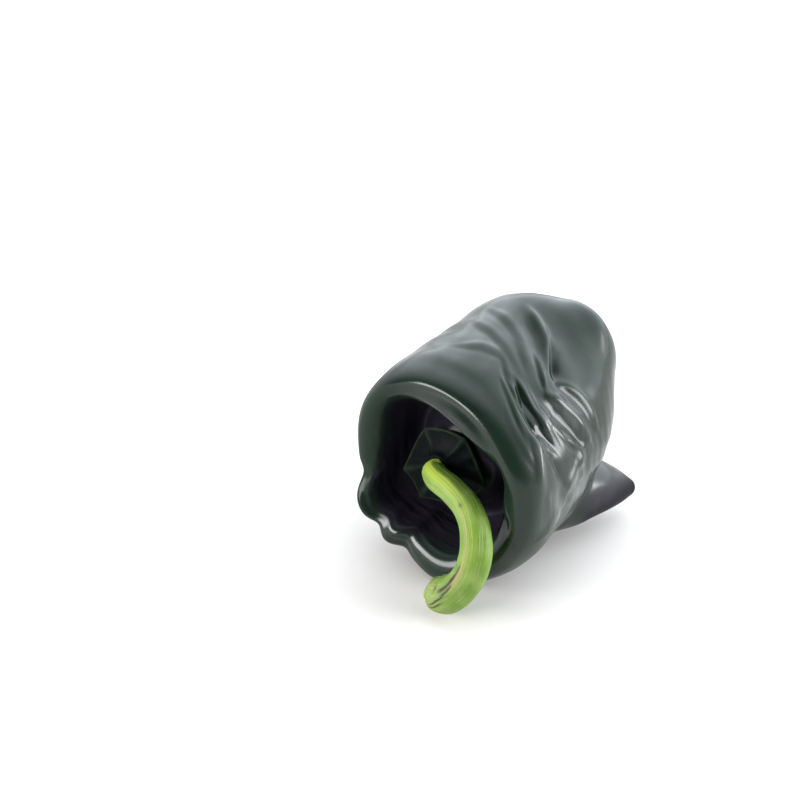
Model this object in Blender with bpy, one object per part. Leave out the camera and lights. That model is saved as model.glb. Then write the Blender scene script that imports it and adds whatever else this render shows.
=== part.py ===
"""Poblano pepper lying on its side: a solid pod, its calyx and its curved stem.

Metres, +Z up. The pod lies along Y, with its stem end towards -Y and its blossom end towards +Y.
The origin is on the small flat spot under the belly that the pod rests on.
"""

import math

import bmesh
import bpy
import numpy as np

# Where the crest of the shoulder rim stands, ahead of the spot that the pod rests on
RIM_Y = -0.040

# Triangles: sectors round each shape and rings along it
POD_SECTORS, POD_RINGS = 86, 64
TIP_SECTORS, TIP_RINGS = 28, 18
CALYX_SECTORS, CALYX_RINGS = 48, 14
STEM_POINTS = 30

# Sectors stand closer together round this angle, and rings along the creased part of the outside
CLOSE_ANGLE, CLOSER = 42, 0.42
RING_SHARES = (0.00, 0.08, 0.30, 0.77, 1.00)
PATH_SHARES = (0.00, 0.15, 0.38, 0.71, 1.00)

# Rings of the pod from the recess floor, over the rim and along the outside to the blunt end:
# distance behind the rim, radius, sideways offset and height of the ring's middle
POD_SHAPE = (
    (0.0100, 0.0000, 0.0000, 0.0400),
    (0.0105, 0.0080, 0.0000, 0.0400),
    (0.0130, 0.0140, 0.0000, 0.0400),
    (0.0180, 0.0185, 0.0000, 0.0400),
    (0.0195, 0.0220, 0.0000, 0.0400),
    (0.0160, 0.0250, 0.0000, 0.0400),
    (0.0090, 0.0264, 0.0000, 0.0400),
    (0.0037, 0.0276, 0.0000, 0.0398),
    (0.0011, 0.0300, 0.0000, 0.0396),
    (0.0002, 0.0330, 0.0000, 0.0395),
    (0.0012, 0.0362, 0.0000, 0.0395),
    (0.0048, 0.0390, 0.0000, 0.0396),
    (0.0118, 0.0405, 0.0000, 0.0400),
    (0.0220, 0.0400, -0.0010, 0.0415),
    (0.0340, 0.0392, -0.0020, 0.0435),
    (0.0460, 0.0380, -0.0030, 0.0455),
    (0.0580, 0.0358, -0.0042, 0.0480),
    (0.0670, 0.0320, -0.0055, 0.0485),
    (0.0740, 0.0260, -0.0065, 0.0470),
    (0.0790, 0.0180, -0.0075, 0.0450),
    (0.0815, 0.0090, -0.0080, 0.0440),
    (0.0820, 0.0000, -0.0080, 0.0440),
)

# The belly hangs below the round body between these distances behind the rim
BELLY_DEPTH = 0.20
BELLY_START, BELLY_FULL, BELLY_FADE, BELLY_END = 0.015, 0.045, 0.048, 0.070

# Swells and hollows of the pod: angle round it and half width in degrees,
# distance behind the rim and half width, then how far it moves outwards and forwards
POD_SWELLS = (
    # lobes of the shoulder rim, low on the left and underneath
    (-143, 17, 0.002, 0.013, 0.0012, 0.0060),
    (-120, 10, 0.002, 0.012, 0.0004, 0.0040),
    (-84, 28, 0.002, 0.012, 0.0019, 0.0050),
    (-160, 6, 0.003, 0.012, -0.0016, -0.0010),
    (-130, 5, 0.003, 0.012, -0.0014, -0.0010),
    (-111, 5, 0.003, 0.012, -0.0012, -0.0010),
    # the rim's full left side
    (170, 24, 0.002, 0.014, 0.0012, 0.0000),
    # the rim's broad top
    (85, 35, 0.000, 0.004, 0.0012, 0.0000),
    # shallow waist on the far left
    (135, 40, 0.040, 0.014, -0.0014, 0.0000),
    # knuckle at the far top, and the drawn-in side of the blunt end
    (64, 20, 0.069, 0.011, 0.0054, 0.0000),
    (42, 20, 0.074, 0.010, 0.0050, 0.0000),
    (-12, 30, 0.072, 0.013, -0.0040, 0.0000),
)

# The lip's edge, where the face of the rim turns into the recess: its mean radius, then angle and radius
LIP_RADIUS = 0.0276
LIP_EDGE = (
    (-163, 0.0292),
    (-147, 0.0322),
    (-136, 0.0326),
    (-124, 0.0300),
    (-112, 0.0276),
    (-92, 0.0268),
    (-71, 0.0274),
    (-42, 0.0276),
    (-14, 0.0274),
    (8, 0.0276),
    (29, 0.0290),
    (49, 0.0254),
    (70, 0.0242),
    (104, 0.0264),
    (139, 0.0294),
    (172, 0.0264),
)

# Hollows and ridges on the face of the rim: angle and half width in degrees,
# radius and half width, and how far the face moves forwards
RIM_DENTS = (
    (88, 40, 0.0357, 0.0022, 0.0015),
    (85, 45, 0.0400, 0.0026, -0.0014),
    (72, 34, 0.0316, 0.0026, -0.0010),
    (78, 36, 0.0258, 0.0026, 0.0016),
    (14, 9, 0.0312, 0.0022, -0.0012),
    (-10, 8, 0.0308, 0.0022, -0.0012),
    (-150, 18, 0.0345, 0.0020, -0.0010),
    (-116, 14, 0.0335, 0.0020, -0.0010),
)

# Creases of the side: the line's angles and distances behind the rim in millimetres, then the height
# and half width of its ridge, and the depth, half width and place of the furrow in front of it
CREASES = (
    # upper branch of the long crease, and the short furrow behind its foot
    (((94, 54), (87, 50.6), (79, 47.6), (70, 44.1), (63, 40.2), (57, 35.8), (51, 29)), 1.3, 1.9, 0.9, 3.0, 4.2),
    (((70, 46), (63, 41.7), (57, 38), (52, 35.1), (47, 31)), 0.0, 1.0, 2.0, 1.9, 0.0),
    # lower branch, with a hollow facet in front of it and the facet's front edge
    (((53, 25), (48, 27), (43, 29.5), (37, 31.6), (30, 33.8), (22, 35.8), (13, 38), (2, 41)), 1.3, 1.9, 1.6, 3.0, 4.6),
    (((48, 18), (44, 19.8), (37, 21.1), (28, 24.6), (18, 30.5), (8, 36)), 0.8, 1.8, 0.0, 1.0, 0.0),
    # the bundle of creases behind the shoulder, with its slits
    (((80, 27), (69, 21.6), (58, 19.8), (50, 18.9), (43, 18.9), (36, 19.6), (28, 21.1), (16, 24)), 0.9, 1.8, 1.7, 1.8, 2.9),
    (((76, 24), (68, 19.8), (60, 16.3), (52, 12.8), (43, 11.5), (35, 12.1), (27, 11), (16, 9)), 0.7, 1.8, 0.8, 1.8, -2.6),
)

# Length on the unrolled side, in millimetres, for a degree round the pod
UNROLLED = 0.66

# The pointed tip, folded forwards under the blunt end: offset, place along Y, height, radius
TIP_SHAPE = (
    (-0.0010, -0.0020, 0.0260, 0.0150),
    (0.0095, 0.0010, 0.0200, 0.0160),
    (0.0150, 0.0100, 0.0176, 0.0148),
    (0.0186, 0.0190, 0.0155, 0.0124),
    (0.0216, 0.0265, 0.0130, 0.0094),
    (0.0243, 0.0330, 0.0108, 0.0062),
    (0.0264, 0.0380, 0.0092, 0.0030),
)

# Share of the tip's length at each end that rounds it off, and the slope of its nose in degrees
TIP_END, TIP_TAPER = 0.16, 32

# The calyx: middle, depth behind the rim, radius without its points, and each point's angle and length
CALYX_SIDE, CALYX_HEIGHT = -0.0020, 0.0415
CALYX_RADIUS = 0.0122
CALYX_POINTS = ((-153, 0.0062), (-118, 0.0060), (-60, 0.0050), (-8, 0.0048), (60, 0.0020), (132, 0.0020))
CALYX_POINT_WIDTH = 20
CALYX_LEAN = 0.14
CALYX_LEAN_ANGLE = 45
# Share of the radius and distance behind the rim, from the seat of the stem over the edge to the back
CALYX_SHAPE = (
    (0.00, 0.0036),
    (0.20, 0.0036),
    (0.38, 0.0036),
    (0.48, 0.0050),
    (0.70, 0.0064),
    (0.94, 0.0070),
    (1.00, 0.0077),
    (0.94, 0.0085),
    (0.60, 0.0092),
    (0.00, 0.0096),
)

# Share of the stem that stands square on its seat
STEM_SEAT = 0.008

# Middle line of the stem from the calyx to its curled end: x, y, z and radius
STEM_SHAPE = (
    (-0.0012, -0.0369, 0.0418, 0.0041),
    (-0.0012, -0.0379, 0.0418, 0.0041),
    (-0.0009, -0.0393, 0.0418, 0.0042),
    (0.0036, -0.0417, 0.0419, 0.0046),
    (0.0102, -0.0428, 0.0415, 0.0047),
    (0.0172, -0.0440, 0.0393, 0.0048),
    (0.0230, -0.0465, 0.0360, 0.0050),
    (0.0265, -0.0490, 0.0317, 0.0053),
    (0.0277, -0.0508, 0.0265, 0.0055),
    (0.0264, -0.0520, 0.0190, 0.0057),
    (0.0231, -0.0535, 0.0127, 0.0061),
    (0.0183, -0.0545, 0.0086, 0.0066),
    (0.0150, -0.0550, 0.0084, 0.0064),
    (0.0129, -0.0553, 0.0088, 0.0046),
)


def smooth_path(points, steps=24):
    """A Catmull-Rom curve through the points."""
    p = np.array(points, dtype=float)
    p = np.vstack([2 * p[0] - p[1], p, 2 * p[-1] - p[-2]])
    u = np.linspace(0, 1, steps, endpoint=False)[:, None]
    pieces = []
    for a, b, c, d in zip(p, p[1:], p[2:], p[3:]):
        straight = 2 * b + (c - a) * u
        bend = (2 * a - 5 * b + 4 * c - d) * u**2 + (3 * b - a - 3 * c + d) * u**3
        pieces.append((straight + bend) / 2)
    pieces.append(p[-2:-1])
    return np.vstack(pieces)


def along(path, share):
    """The path's columns at shares of its length."""
    steps = np.linalg.norm(np.diff(path, axis=0), axis=1)
    length = np.concatenate([[0], np.cumsum(steps)])
    return [np.interp(share * length[-1], length, column) for column in path.T]


def rise(value, start, end):
    """0 before the start, 1 after the end, smooth between."""
    share = np.clip((value - start) / (end - start), 0, 1)
    return share * share * (3 - 2 * share)


def turn_between(angle, middle):
    """Degrees from a direction to each angle, the short way round."""
    return (np.degrees(angle) - middle + 180) % 360 - 180


def around(table, angle):
    """The table's values at each angle, smooth all the way round."""
    places = [place + turn for turn in (-360, 0, 360) for place, _ in table]
    path = smooth_path([(place, value) for place, value in zip(places, 3 * [value for _, value in table])])
    return np.interp((np.degrees(angle) + 180) % 360 - 180, path[:, 0], path[:, 1])


def crease_height(angle, back, creases):
    """How far the creases lift the skin, in metres, measured on the unrolled side of the pod."""
    across = (np.degrees(angle) + 180) % 360 - 180
    u, v = across * UNROLLED, back * 1000
    total = np.zeros_like(u)
    for line, ridge, ridge_width, furrow, furrow_width, furrow_place in creases:
        path = smooth_path(line, 6) * (UNROLLED, 1)
        nearest = np.full_like(u, np.inf)
        offset, reached = np.zeros_like(u), np.zeros_like(u)
        for number, (start, end) in enumerate(zip(path, path[1:])):
            run = end - start
            part = np.clip(((u - start[0]) * run[0] + (v - start[1]) * run[1]) / (run @ run), 0, 1)
            du, dv = u - start[0] - part * run[0], v - start[1] - part * run[1]
            distance = np.hypot(du, dv)
            closer = distance < nearest
            nearest = np.where(closer, distance, nearest)
            offset = np.where(closer, np.where(run[1] * du - run[0] * dv > 0, -distance, distance), offset)
            reached = np.where(closer, (number + part) / (len(path) - 1), reached)
        ends = rise(reached, 0, 0.35) * rise(1 - reached, 0, 0.35)
        offset = offset / (0.5 + 0.5 * ends)
        shape = ridge * np.exp(-((offset / ridge_width) ** 2))
        shape = shape - furrow * np.exp(-(np.abs((offset - furrow_place) / furrow_width) ** 1.5))
        total = total + ends * shape
    return total / 1000


def pod_surface(angle, share):
    """The pod's skin at an angle round it and a share of the way from the recess floor to the blunt end."""
    share = np.interp(share, RING_SHARES, PATH_SHARES)
    angle = angle - CLOSER * np.sin(angle - math.radians(CLOSE_ANGLE))
    back, radius, side, height = along(smooth_path(POD_SHAPE), share)
    outside = rise(share, 0.34, 0.42)
    belly = BELLY_DEPTH * rise(back, BELLY_START, BELLY_FULL) * (1 - rise(back, BELLY_FADE, BELLY_END))
    radius = radius * (1 + outside * belly * np.clip(-np.sin(angle), 0, 1) ** 4)
    clear = rise(share, 0.13, 0.26) * rise(radius, 0, 0.015)
    outwards, forwards = np.zeros_like(back), np.zeros_like(back)
    for middle, width, place, depth, out, ahead in POD_SWELLS:
        weight = np.exp(-((turn_between(angle, middle) / width) ** 2) - ((back - place) / depth) ** 2)
        outwards = outwards + clear * weight * out
        forwards = forwards + clear * weight * ahead
    lip = rise(share, 0.15, 0.23) * (1 - rise(share, 0.28, 0.36))
    radius = radius + lip * (around(LIP_EDGE, angle) - LIP_RADIUS)
    face = rise(share, 0.22, 0.26) * (1 - rise(share, 0.37, 0.41))
    for middle, width, place, depth, ahead in RIM_DENTS:
        weight = np.exp(-((turn_between(angle, middle) / width) ** 2) - ((radius - place) / depth) ** 2)
        forwards = forwards + face * weight * ahead
    radius = radius + outwards + outside * crease_height(angle, back, CREASES)
    x = side + radius * np.cos(angle)
    z = height + radius * np.sin(angle)
    return np.stack([x, RIM_Y + back - forwards, np.maximum(z, 0)], -1)


def tube_surface(points, angle, share):
    """A tapering tube with round ends along a smooth line: x, y, z and radius at each point."""
    path = smooth_path(points)
    length = np.clip((share - TIP_END) / (1 - 2 * TIP_END), 0, 1)
    place = np.array(along(path, length)).T
    before = np.array(along(path, np.clip(length - 0.02, 0, 1))).T
    after = np.array(along(path, np.clip(length + 0.02, 0, 1))).T
    ahead = after[:, :3] - before[:, :3]
    ahead /= np.linalg.norm(ahead, axis=1)[:, None]
    sideways = np.cross(ahead, (0, 0, 1.0))
    sideways /= np.linalg.norm(sideways, axis=1)[:, None]
    upwards = np.cross(sideways, ahead)
    start_turn = np.clip(1 - share / TIP_END, 0, 1) * math.pi / 2
    taper = math.radians(TIP_TAPER)
    end_turn = taper + np.clip(1 - (1 - share) / TIP_END, 0, 1) * (math.pi / 2 - taper)
    reach = place[:, 3] * np.cos(start_turn) * np.cos(end_turn) / math.cos(taper)
    push = place[:, 3] * ((np.sin(end_turn) - math.sin(taper)) / math.cos(taper) - np.sin(start_turn))
    ring = sideways * np.cos(angle)[:, None] + upwards * np.sin(angle)[:, None]
    spot = place[:, :3] + ahead * push[:, None] + ring * reach[:, None]
    spot[:, 2] = np.maximum(spot[:, 2], 0)
    return spot


def calyx_surface(angle, share):
    """The calyx's skin at an angle round it and a share of the way from the stem's seat to its back."""
    ratio, back = along(smooth_path(CALYX_SHAPE), share)
    reach = np.full_like(angle, CALYX_RADIUS)
    for middle, length in CALYX_POINTS:
        reach = reach + length * np.exp(-np.abs(turn_between(angle, middle)) / CALYX_POINT_WIDTH)
    stretch = rise(ratio, CALYX_SHAPE[2][0], 1)
    radius = ratio * (CALYX_RADIUS + stretch * (reach - CALYX_RADIUS))
    back = back + CALYX_LEAN * radius * stretch * np.cos(angle - math.radians(CALYX_LEAN_ANGLE))
    x = CALYX_SIDE + radius * np.cos(angle)
    z = CALYX_HEIGHT + radius * np.sin(angle)
    return np.stack([x, RIM_Y + back, z], -1)


def shaped_sphere(name, sectors, rings, surface):
    """A sphere whose vertices are moved onto a surface given by angle and share from pole to pole."""
    shape = bmesh.new()
    bmesh.ops.create_uvsphere(shape, u_segments=sectors, v_segments=rings, radius=1)
    start = np.array([vertex.co[:] for vertex in shape.verts])
    angle = np.arctan2(start[:, 1], start[:, 0])
    share = np.arccos(np.clip(start[:, 2], -1, 1)) / math.pi
    for vertex, place in zip(shape.verts, surface(angle, share)):
        vertex.co = place
    mesh = bpy.data.meshes.new(name)
    shape.to_mesh(mesh)
    shape.free()
    mesh.shade_smooth()
    return bpy.data.objects.new(name, mesh)


def surface_material(name, colour, roughness):
    material = bpy.data.materials.new(name)
    material.use_nodes = True
    shader = material.node_tree.nodes["Principled BSDF"]
    shader.inputs["Base Color"].default_value = (*colour, 1)
    shader.inputs["Roughness"].default_value = roughness
    shader.inputs["Metallic"].default_value = 0
    return material


def new_collection(name):
    collection = bpy.data.collections.new(name)
    bpy.context.scene.collection.children.link(collection)
    return collection


def make_pod(collection, cutters):
    """The solid pod: the blunt body joined to the folded tip."""
    pod = shaped_sphere("pod", POD_SECTORS, POD_RINGS, pod_surface)
    tip = shaped_sphere("tip_form", TIP_SECTORS, TIP_RINGS, lambda a, s: tube_surface(TIP_SHAPE, a, s))
    pod.data.materials.append(surface_material("pod_skin", (0.018, 0.035, 0.022), 0.25))
    collection.objects.link(pod)
    cutters.objects.link(tip)
    tip.hide_render = True
    tip.display_type = "WIRE"
    union = pod.modifiers.new("tip", "BOOLEAN")
    union.operation = "UNION"
    union.solver = "EXACT"
    union.object = tip
    return pod


def make_calyx(collection):
    calyx = shaped_sphere("calyx", CALYX_SECTORS, CALYX_RINGS, calyx_surface)
    calyx.data.materials.append(surface_material("calyx_skin", (0.022, 0.045, 0.015), 0.45))
    collection.objects.link(calyx)
    return calyx


def make_stem(collection):
    """The stem: a tapering tube along a smooth line."""
    line = bpy.data.curves.new("stem", "CURVE")
    line.dimensions = "3D"
    line.bevel_depth = 1
    line.bevel_resolution = 4
    line.use_fill_caps = True
    spline = line.splines.new("POLY")
    spline.points.add(STEM_POINTS - 1)
    shares = np.concatenate([[0, STEM_SEAT], np.linspace(3 * STEM_SEAT, 1, STEM_POINTS - 2)])
    places = np.array(along(smooth_path(STEM_SHAPE), shares)).T
    for point, place in zip(spline.points, places):
        point.co = (*place[:3], 1)
        point.radius = place[3]
    stem = bpy.data.objects.new("stem", line)
    stem.data.materials.append(surface_material("stem_skin", (0.36, 0.52, 0.06), 0.4))
    collection.objects.link(stem)
    return stem


def main():
    for old in list(bpy.data.objects):
        bpy.data.objects.remove(old)
    collection = new_collection("poblano_pepper")
    cutters = new_collection("helpers")
    make_pod(collection, cutters)
    make_calyx(collection)
    make_stem(collection)


main()
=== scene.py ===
"""Looks for a poblano pepper lying on its side: a waxy dark green pod, its calyx and its curled stem.

The pieces repeat the solid model's own tables and formulas at a finer step, and add the small folds,
hollows and ribs of the skin. Metres, +Z up, with the origin on the spot that the pepper rests on.
"""

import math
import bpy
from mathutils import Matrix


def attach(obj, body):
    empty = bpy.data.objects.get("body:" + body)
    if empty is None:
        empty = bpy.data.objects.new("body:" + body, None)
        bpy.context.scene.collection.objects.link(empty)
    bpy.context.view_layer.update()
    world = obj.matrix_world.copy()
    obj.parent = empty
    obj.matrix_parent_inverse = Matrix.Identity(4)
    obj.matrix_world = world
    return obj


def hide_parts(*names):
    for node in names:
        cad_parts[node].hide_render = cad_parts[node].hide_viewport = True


bl_info = {
    "name": "Poblano Pepper",
    "version": (1, 0, 0),
    "blender": (4, 5, 0),
    "location": "View3D > Sidebar > Poblano",
    "description": "Builds the skin, calyx and stem of a poblano pepper, and a small studio round it",
    "category": "Object",
}

import bmesh
import bpy
import numpy as np
from bpy.props import FloatProperty, FloatVectorProperty, IntProperty, PointerProperty
from mathutils import Matrix, Vector

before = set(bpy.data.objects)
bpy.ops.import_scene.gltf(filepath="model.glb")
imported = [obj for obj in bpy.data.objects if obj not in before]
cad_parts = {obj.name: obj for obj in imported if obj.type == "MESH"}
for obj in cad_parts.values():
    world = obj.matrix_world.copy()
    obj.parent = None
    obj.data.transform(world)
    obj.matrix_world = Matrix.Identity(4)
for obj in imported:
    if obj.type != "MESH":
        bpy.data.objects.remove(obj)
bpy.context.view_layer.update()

# Height of the recess's middle
RECESS_Z = 0.0396

# Where the crest of the shoulder rim stands, ahead of the spot that the pod rests on
RIM_Y = -0.040

# Sectors stand closer together round this angle, and rings along the creased part of the outside
CLOSE_ANGLE, CLOSER = 42, 0.42
RING_SHARES = (0.00, 0.08, 0.32, 0.78, 1.00)
PATH_SHARES = (0.00, 0.12, 0.36, 0.72, 1.00)

# Rings of the pod from the recess floor, over the rim and along the outside to the blunt end:
# distance behind the rim, radius, sideways offset and height of the ring's middle
POD_SHAPE = (
    (0.0100, 0.0000, 0.0000, 0.0400),
    (0.0105, 0.0080, 0.0000, 0.0400),
    (0.0130, 0.0140, 0.0000, 0.0400),
    (0.0180, 0.0185, 0.0000, 0.0400),
    (0.0195, 0.0220, 0.0000, 0.0400),
    (0.0160, 0.0250, 0.0000, 0.0400),
    (0.0090, 0.0264, 0.0000, 0.0400),
    (0.0037, 0.0276, 0.0000, 0.0398),
    (0.0011, 0.0300, 0.0000, 0.0396),
    (0.0002, 0.0330, 0.0000, 0.0395),
    (0.0012, 0.0362, 0.0000, 0.0395),
    (0.0048, 0.0390, 0.0000, 0.0396),
    (0.0118, 0.0405, 0.0000, 0.0400),
    (0.0220, 0.0400, -0.0010, 0.0415),
    (0.0340, 0.0392, -0.0020, 0.0435),
    (0.0460, 0.0380, -0.0030, 0.0455),
    (0.0580, 0.0358, -0.0042, 0.0480),
    (0.0670, 0.0320, -0.0055, 0.0485),
    (0.0740, 0.0260, -0.0065, 0.0470),
    (0.0790, 0.0180, -0.0075, 0.0450),
    (0.0815, 0.0090, -0.0080, 0.0440),
    (0.0820, 0.0000, -0.0080, 0.0440),
)

# The belly hangs below the round body between these distances behind the rim
BELLY_DEPTH = 0.20
BELLY_START, BELLY_FULL, BELLY_FADE, BELLY_END = 0.015, 0.045, 0.048, 0.070

# Swells and hollows of the pod: angle round it and half width in degrees,
# distance behind the rim and half width, then how far it moves outwards and forwards
POD_SWELLS = (
    # lobes of the shoulder rim, low on the left and underneath
    (-143, 17, 0.002, 0.013, 0.0012, 0.0060),
    (-120, 10, 0.002, 0.012, 0.0004, 0.0040),
    (-84, 28, 0.002, 0.012, 0.0019, 0.0050),
    (-160, 6, 0.003, 0.012, -0.0016, -0.0010),
    (-130, 5, 0.003, 0.012, -0.0014, -0.0010),
    (-111, 5, 0.003, 0.012, -0.0012, -0.0010),
    # the rim's full left side
    (170, 24, 0.002, 0.014, 0.0012, 0.0000),
    # the rim's broad top
    (85, 35, 0.000, 0.004, 0.0012, 0.0000),
    # shallow waist on the far left
    (135, 40, 0.040, 0.014, -0.0014, 0.0000),
    # knuckle at the far top, and the drawn-in side of the blunt end
    (64, 20, 0.069, 0.011, 0.0054, 0.0000),
    (42, 20, 0.074, 0.010, 0.0050, 0.0000),
    (-12, 30, 0.072, 0.013, -0.0040, 0.0000),
)

# The lip's edge, where the face of the rim turns into the recess: its mean radius, then angle and radius
LIP_RADIUS = 0.0276

LIP_EDGE = (
    (-163, 0.0292),
    (-147, 0.0322),
    (-136, 0.0326),
    (-124, 0.0300),
    (-112, 0.0276),
    (-92, 0.0268),
    (-71, 0.0274),
    (-42, 0.0276),
    (-14, 0.0274),
    (8, 0.0276),
    (29, 0.0290),
    (49, 0.0254),
    (70, 0.0242),
    (104, 0.0264),
    (139, 0.0294),
    (172, 0.0264),
)

# Hollows and ridges on the face of the rim: angle and half width in degrees,
# radius and half width, and how far the face moves forwards
RIM_DENTS = (
    (88, 40, 0.0352, 0.0038, 0.0013),
    (85, 45, 0.0400, 0.0026, -0.0014),
    (72, 34, 0.0316, 0.0026, -0.0010),
    (78, 36, 0.0258, 0.0026, 0.0016),
    (14, 9, 0.0312, 0.0022, -0.0012),
    (-10, 8, 0.0308, 0.0022, -0.0012),
    (-150, 18, 0.0345, 0.0020, -0.0010),
    (-116, 14, 0.0335, 0.0020, -0.0010),
)

# Creases of the side: the line's angles and distances behind the rim in millimetres, then the height
# and half width of its ridge, and the depth, half width and place of the furrow in front of it
CREASES = (
    # upper branch of the long crease, and the short furrow behind its foot
    (
        ((94, 54), (87, 50.6), (79, 47.6), (70, 44.1), (63, 40.2), (57, 35.8), (51, 29)),
        1.3, 1.9, 0.9, 3.0, 4.2,
    ),
    (((70, 46), (63, 41.7), (57, 38), (52, 35.1), (47, 31)), 0.0, 1.0, 2.0, 1.9, 0.0),
    # lower branch, with a hollow facet in front of it and the facet's front edge
    (
        ((53, 25), (48, 27), (43, 29.5), (37, 31.6), (30, 33.8), (22, 35.8), (13, 38), (2, 41)),
        1.3, 1.9, 1.6, 3.0, 4.6,
    ),
    (((48, 18), (44, 19.8), (37, 21.1), (28, 24.6), (18, 30.5), (8, 36)), 0.8, 1.8, 0.0, 1.0, 0.0),
    # the bundle of creases behind the shoulder, with its slits
    (
        ((80, 27), (69, 21.6), (58, 19.8), (50, 18.9), (43, 18.9), (36, 19.6), (28, 21.1), (16, 24)),
        0.9, 1.8, 1.7, 1.8, 2.9,
    ),
    (
        ((76, 24), (68, 19.8), (60, 16.3), (52, 12.8), (43, 11.5), (35, 12.1), (27, 11), (16, 9)),
        0.7, 1.8, 0.8, 1.8, -2.6,
    ),
)

# Finer creases, in the same terms
FINE_CREASES = (
    # ridge behind the lower branch
    (
        ((52, 31), (49, 34), (42, 38), (34, 40.8), (25, 42.6), (14, 44.1), (2, 48)),
        0.6, 1.5, 0.5, 1.4, 2.6,
    ),
    # short crease inside the bend
    (((68, 36), (64, 34.5), (58, 31.6), (53, 29), (46, 25.5)), 0.6, 0.9, 0.5, 1.0, 1.8),
    # slits of the bundle
    (
        ((74, 22), (66, 18.6), (58, 16.8), (50, 15.8), (43, 15.8), (36, 16.6), (26, 18)),
        1.2, 1.3, 0.5, 0.6, 2.0,
    ),
    (((66, 21.2), (60, 18.9), (54, 17.6), (47, 17.2), (40, 17.4)), 0.0, 1.0, 0.6, 0.5, 0.0),
    # thin lines beside them
    (((64, 23.4), (50, 21), (40, 21.5), (30, 24), (16, 28)), 0.35, 0.8, 0.35, 0.7, 1.3),
    (((72, 17.5), (66, 16), (56, 12.6), (46, 10), (34, 8.8)), 0.3, 0.9, 0.3, 0.9, 1.6),
    (((60, 9.5), (48, 7.5), (36, 7.5), (22, 8.5)), 0.2, 1.2, 0.2, 1.2, 2.2),
    # hollow low on the bundle, and the broad ridge under it
    (((34, 14.5), (25, 16.3), (18, 17.6), (9, 19.4), (-3, 23)), 0.0, 1.0, 0.9, 1.7, 0.0),
    (((34, 25), (24, 29), (14, 31), (5, 32), (-4, 34)), 0.7, 2.0, 0.3, 1.3, 3.0),
    # broad ridge along the lower right side, and the foot of the bundle's front ridge
    (((19, 42), (11, 33), (4, 25), (-2, 19), (-9, 13), (-17, 6)), 0.9, 2.5, 0.0, 1.0, 0.0),
    (((0, 36), (-5, 28), (-9, 20), (-14, 12), (-20, 5)), 0.6, 2.0, 0.0, 1.0, 0.0),
    (((42, 12), (34, 12.2), (25, 10.6), (12, 8.4), (0, 6)), 0.8, 1.9, 0.0, 1.0, 0.0),
    # soft folds on the left side and round the blunt end
    (((176, 22), (164, 26), (150, 33), (138, 43)), 0.5, 2.6, 0.4, 2.2, 3.8),
    (((-176, 46), (-162, 50), (-148, 57), (-136, 66)), 0.5, 2.4, 0.4, 2.0, 3.6),
    (((150, 60), (138, 66), (124, 71), (108, 76)), 0.4, 2.6, 0.3, 2.2, 3.8),
    (((-30, 40), (-44, 34), (-60, 30), (-76, 28)), 0.5, 2.4, 0.4, 2.0, 3.6),
    # soft folds over the top
    (((108, 20), (96, 22.7), (88, 25.1), (78, 25.7), (68, 22.5)), 0.35, 2.2, 0.25, 2.2, 3.4),
    (((122, 42), (107, 37.1), (92, 33.6), (81, 30.3), (72, 27.3), (60, 22.6)), 0.35, 1.8, 0.3, 1.8, 2.9),
    (((118, 49), (104, 45.6), (89, 41.5), (77, 36.7), (68, 30.5), (56, 24)), 0.4, 1.8, 0.35, 1.8, 2.9),
)

# Length on the unrolled side, in millimetres, for a degree round the pod
UNROLLED = 0.66

# The pointed tip, folded forwards under the blunt end: offset, place along Y, height, radius
TIP_SHAPE = (
    (-0.0010, -0.0020, 0.0260, 0.0150),
    (0.0095, 0.0010, 0.0200, 0.0160),
    (0.0150, 0.0100, 0.0176, 0.0148),
    (0.0186, 0.0190, 0.0155, 0.0124),
    (0.0216, 0.0265, 0.0130, 0.0094),
    (0.0243, 0.0330, 0.0108, 0.0062),
    (0.0264, 0.0380, 0.0092, 0.0030),
)

# Share of the tip's length at each end that rounds it off, and the slope of its nose in degrees
TIP_END, TIP_TAPER = 0.16, 32

# The calyx: middle, depth behind the rim, radius without its points, and each point's angle and length
CALYX_SIDE, CALYX_HEIGHT = -0.0020, 0.0415
CALYX_RADIUS = 0.0122
CALYX_POINTS = ((-153, 0.0062), (-118, 0.0060), (-60, 0.0050), (-8, 0.0048), (60, 0.0020), (132, 0.0020))
CALYX_POINT_WIDTH = 20
CALYX_LEAN = 0.14
CALYX_LEAN_ANGLE = 45
# Share of the radius and distance behind the rim, from the seat of the stem over the edge to the back
CALYX_SHAPE = (
    (0.00, 0.0036),
    (0.20, 0.0036),
    (0.38, 0.0036),
    (0.48, 0.0050),
    (0.70, 0.0064),
    (0.94, 0.0070),
    (1.00, 0.0077),
    (0.94, 0.0085),
    (0.60, 0.0092),
    (0.00, 0.0096),
)

# Middle line of the stem from the calyx to its curled end: x, y, z and radius
STEM_SHAPE = (
    (-0.0012, -0.0369, 0.0418, 0.0041),
    (-0.0012, -0.0379, 0.0418, 0.0041),
    (-0.0009, -0.0393, 0.0418, 0.0042),
    (0.0036, -0.0417, 0.0419, 0.0046),
    (0.0102, -0.0428, 0.0415, 0.0047),
    (0.0172, -0.0440, 0.0393, 0.0048),
    (0.0230, -0.0465, 0.0360, 0.0050),
    (0.0265, -0.0490, 0.0317, 0.0053),
    (0.0277, -0.0508, 0.0265, 0.0055),
    (0.0264, -0.0520, 0.0190, 0.0057),
    (0.0231, -0.0535, 0.0127, 0.0061),
    (0.0183, -0.0545, 0.0086, 0.0066),
    (0.0150, -0.0550, 0.0084, 0.0064),
    (0.0129, -0.0553, 0.0088, 0.0046),
)

# Shares of the stem from pole to pole where its flat seat ends and its torn end starts
STEM_SEAT, STEM_CUT = 0.05, 0.94

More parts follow.
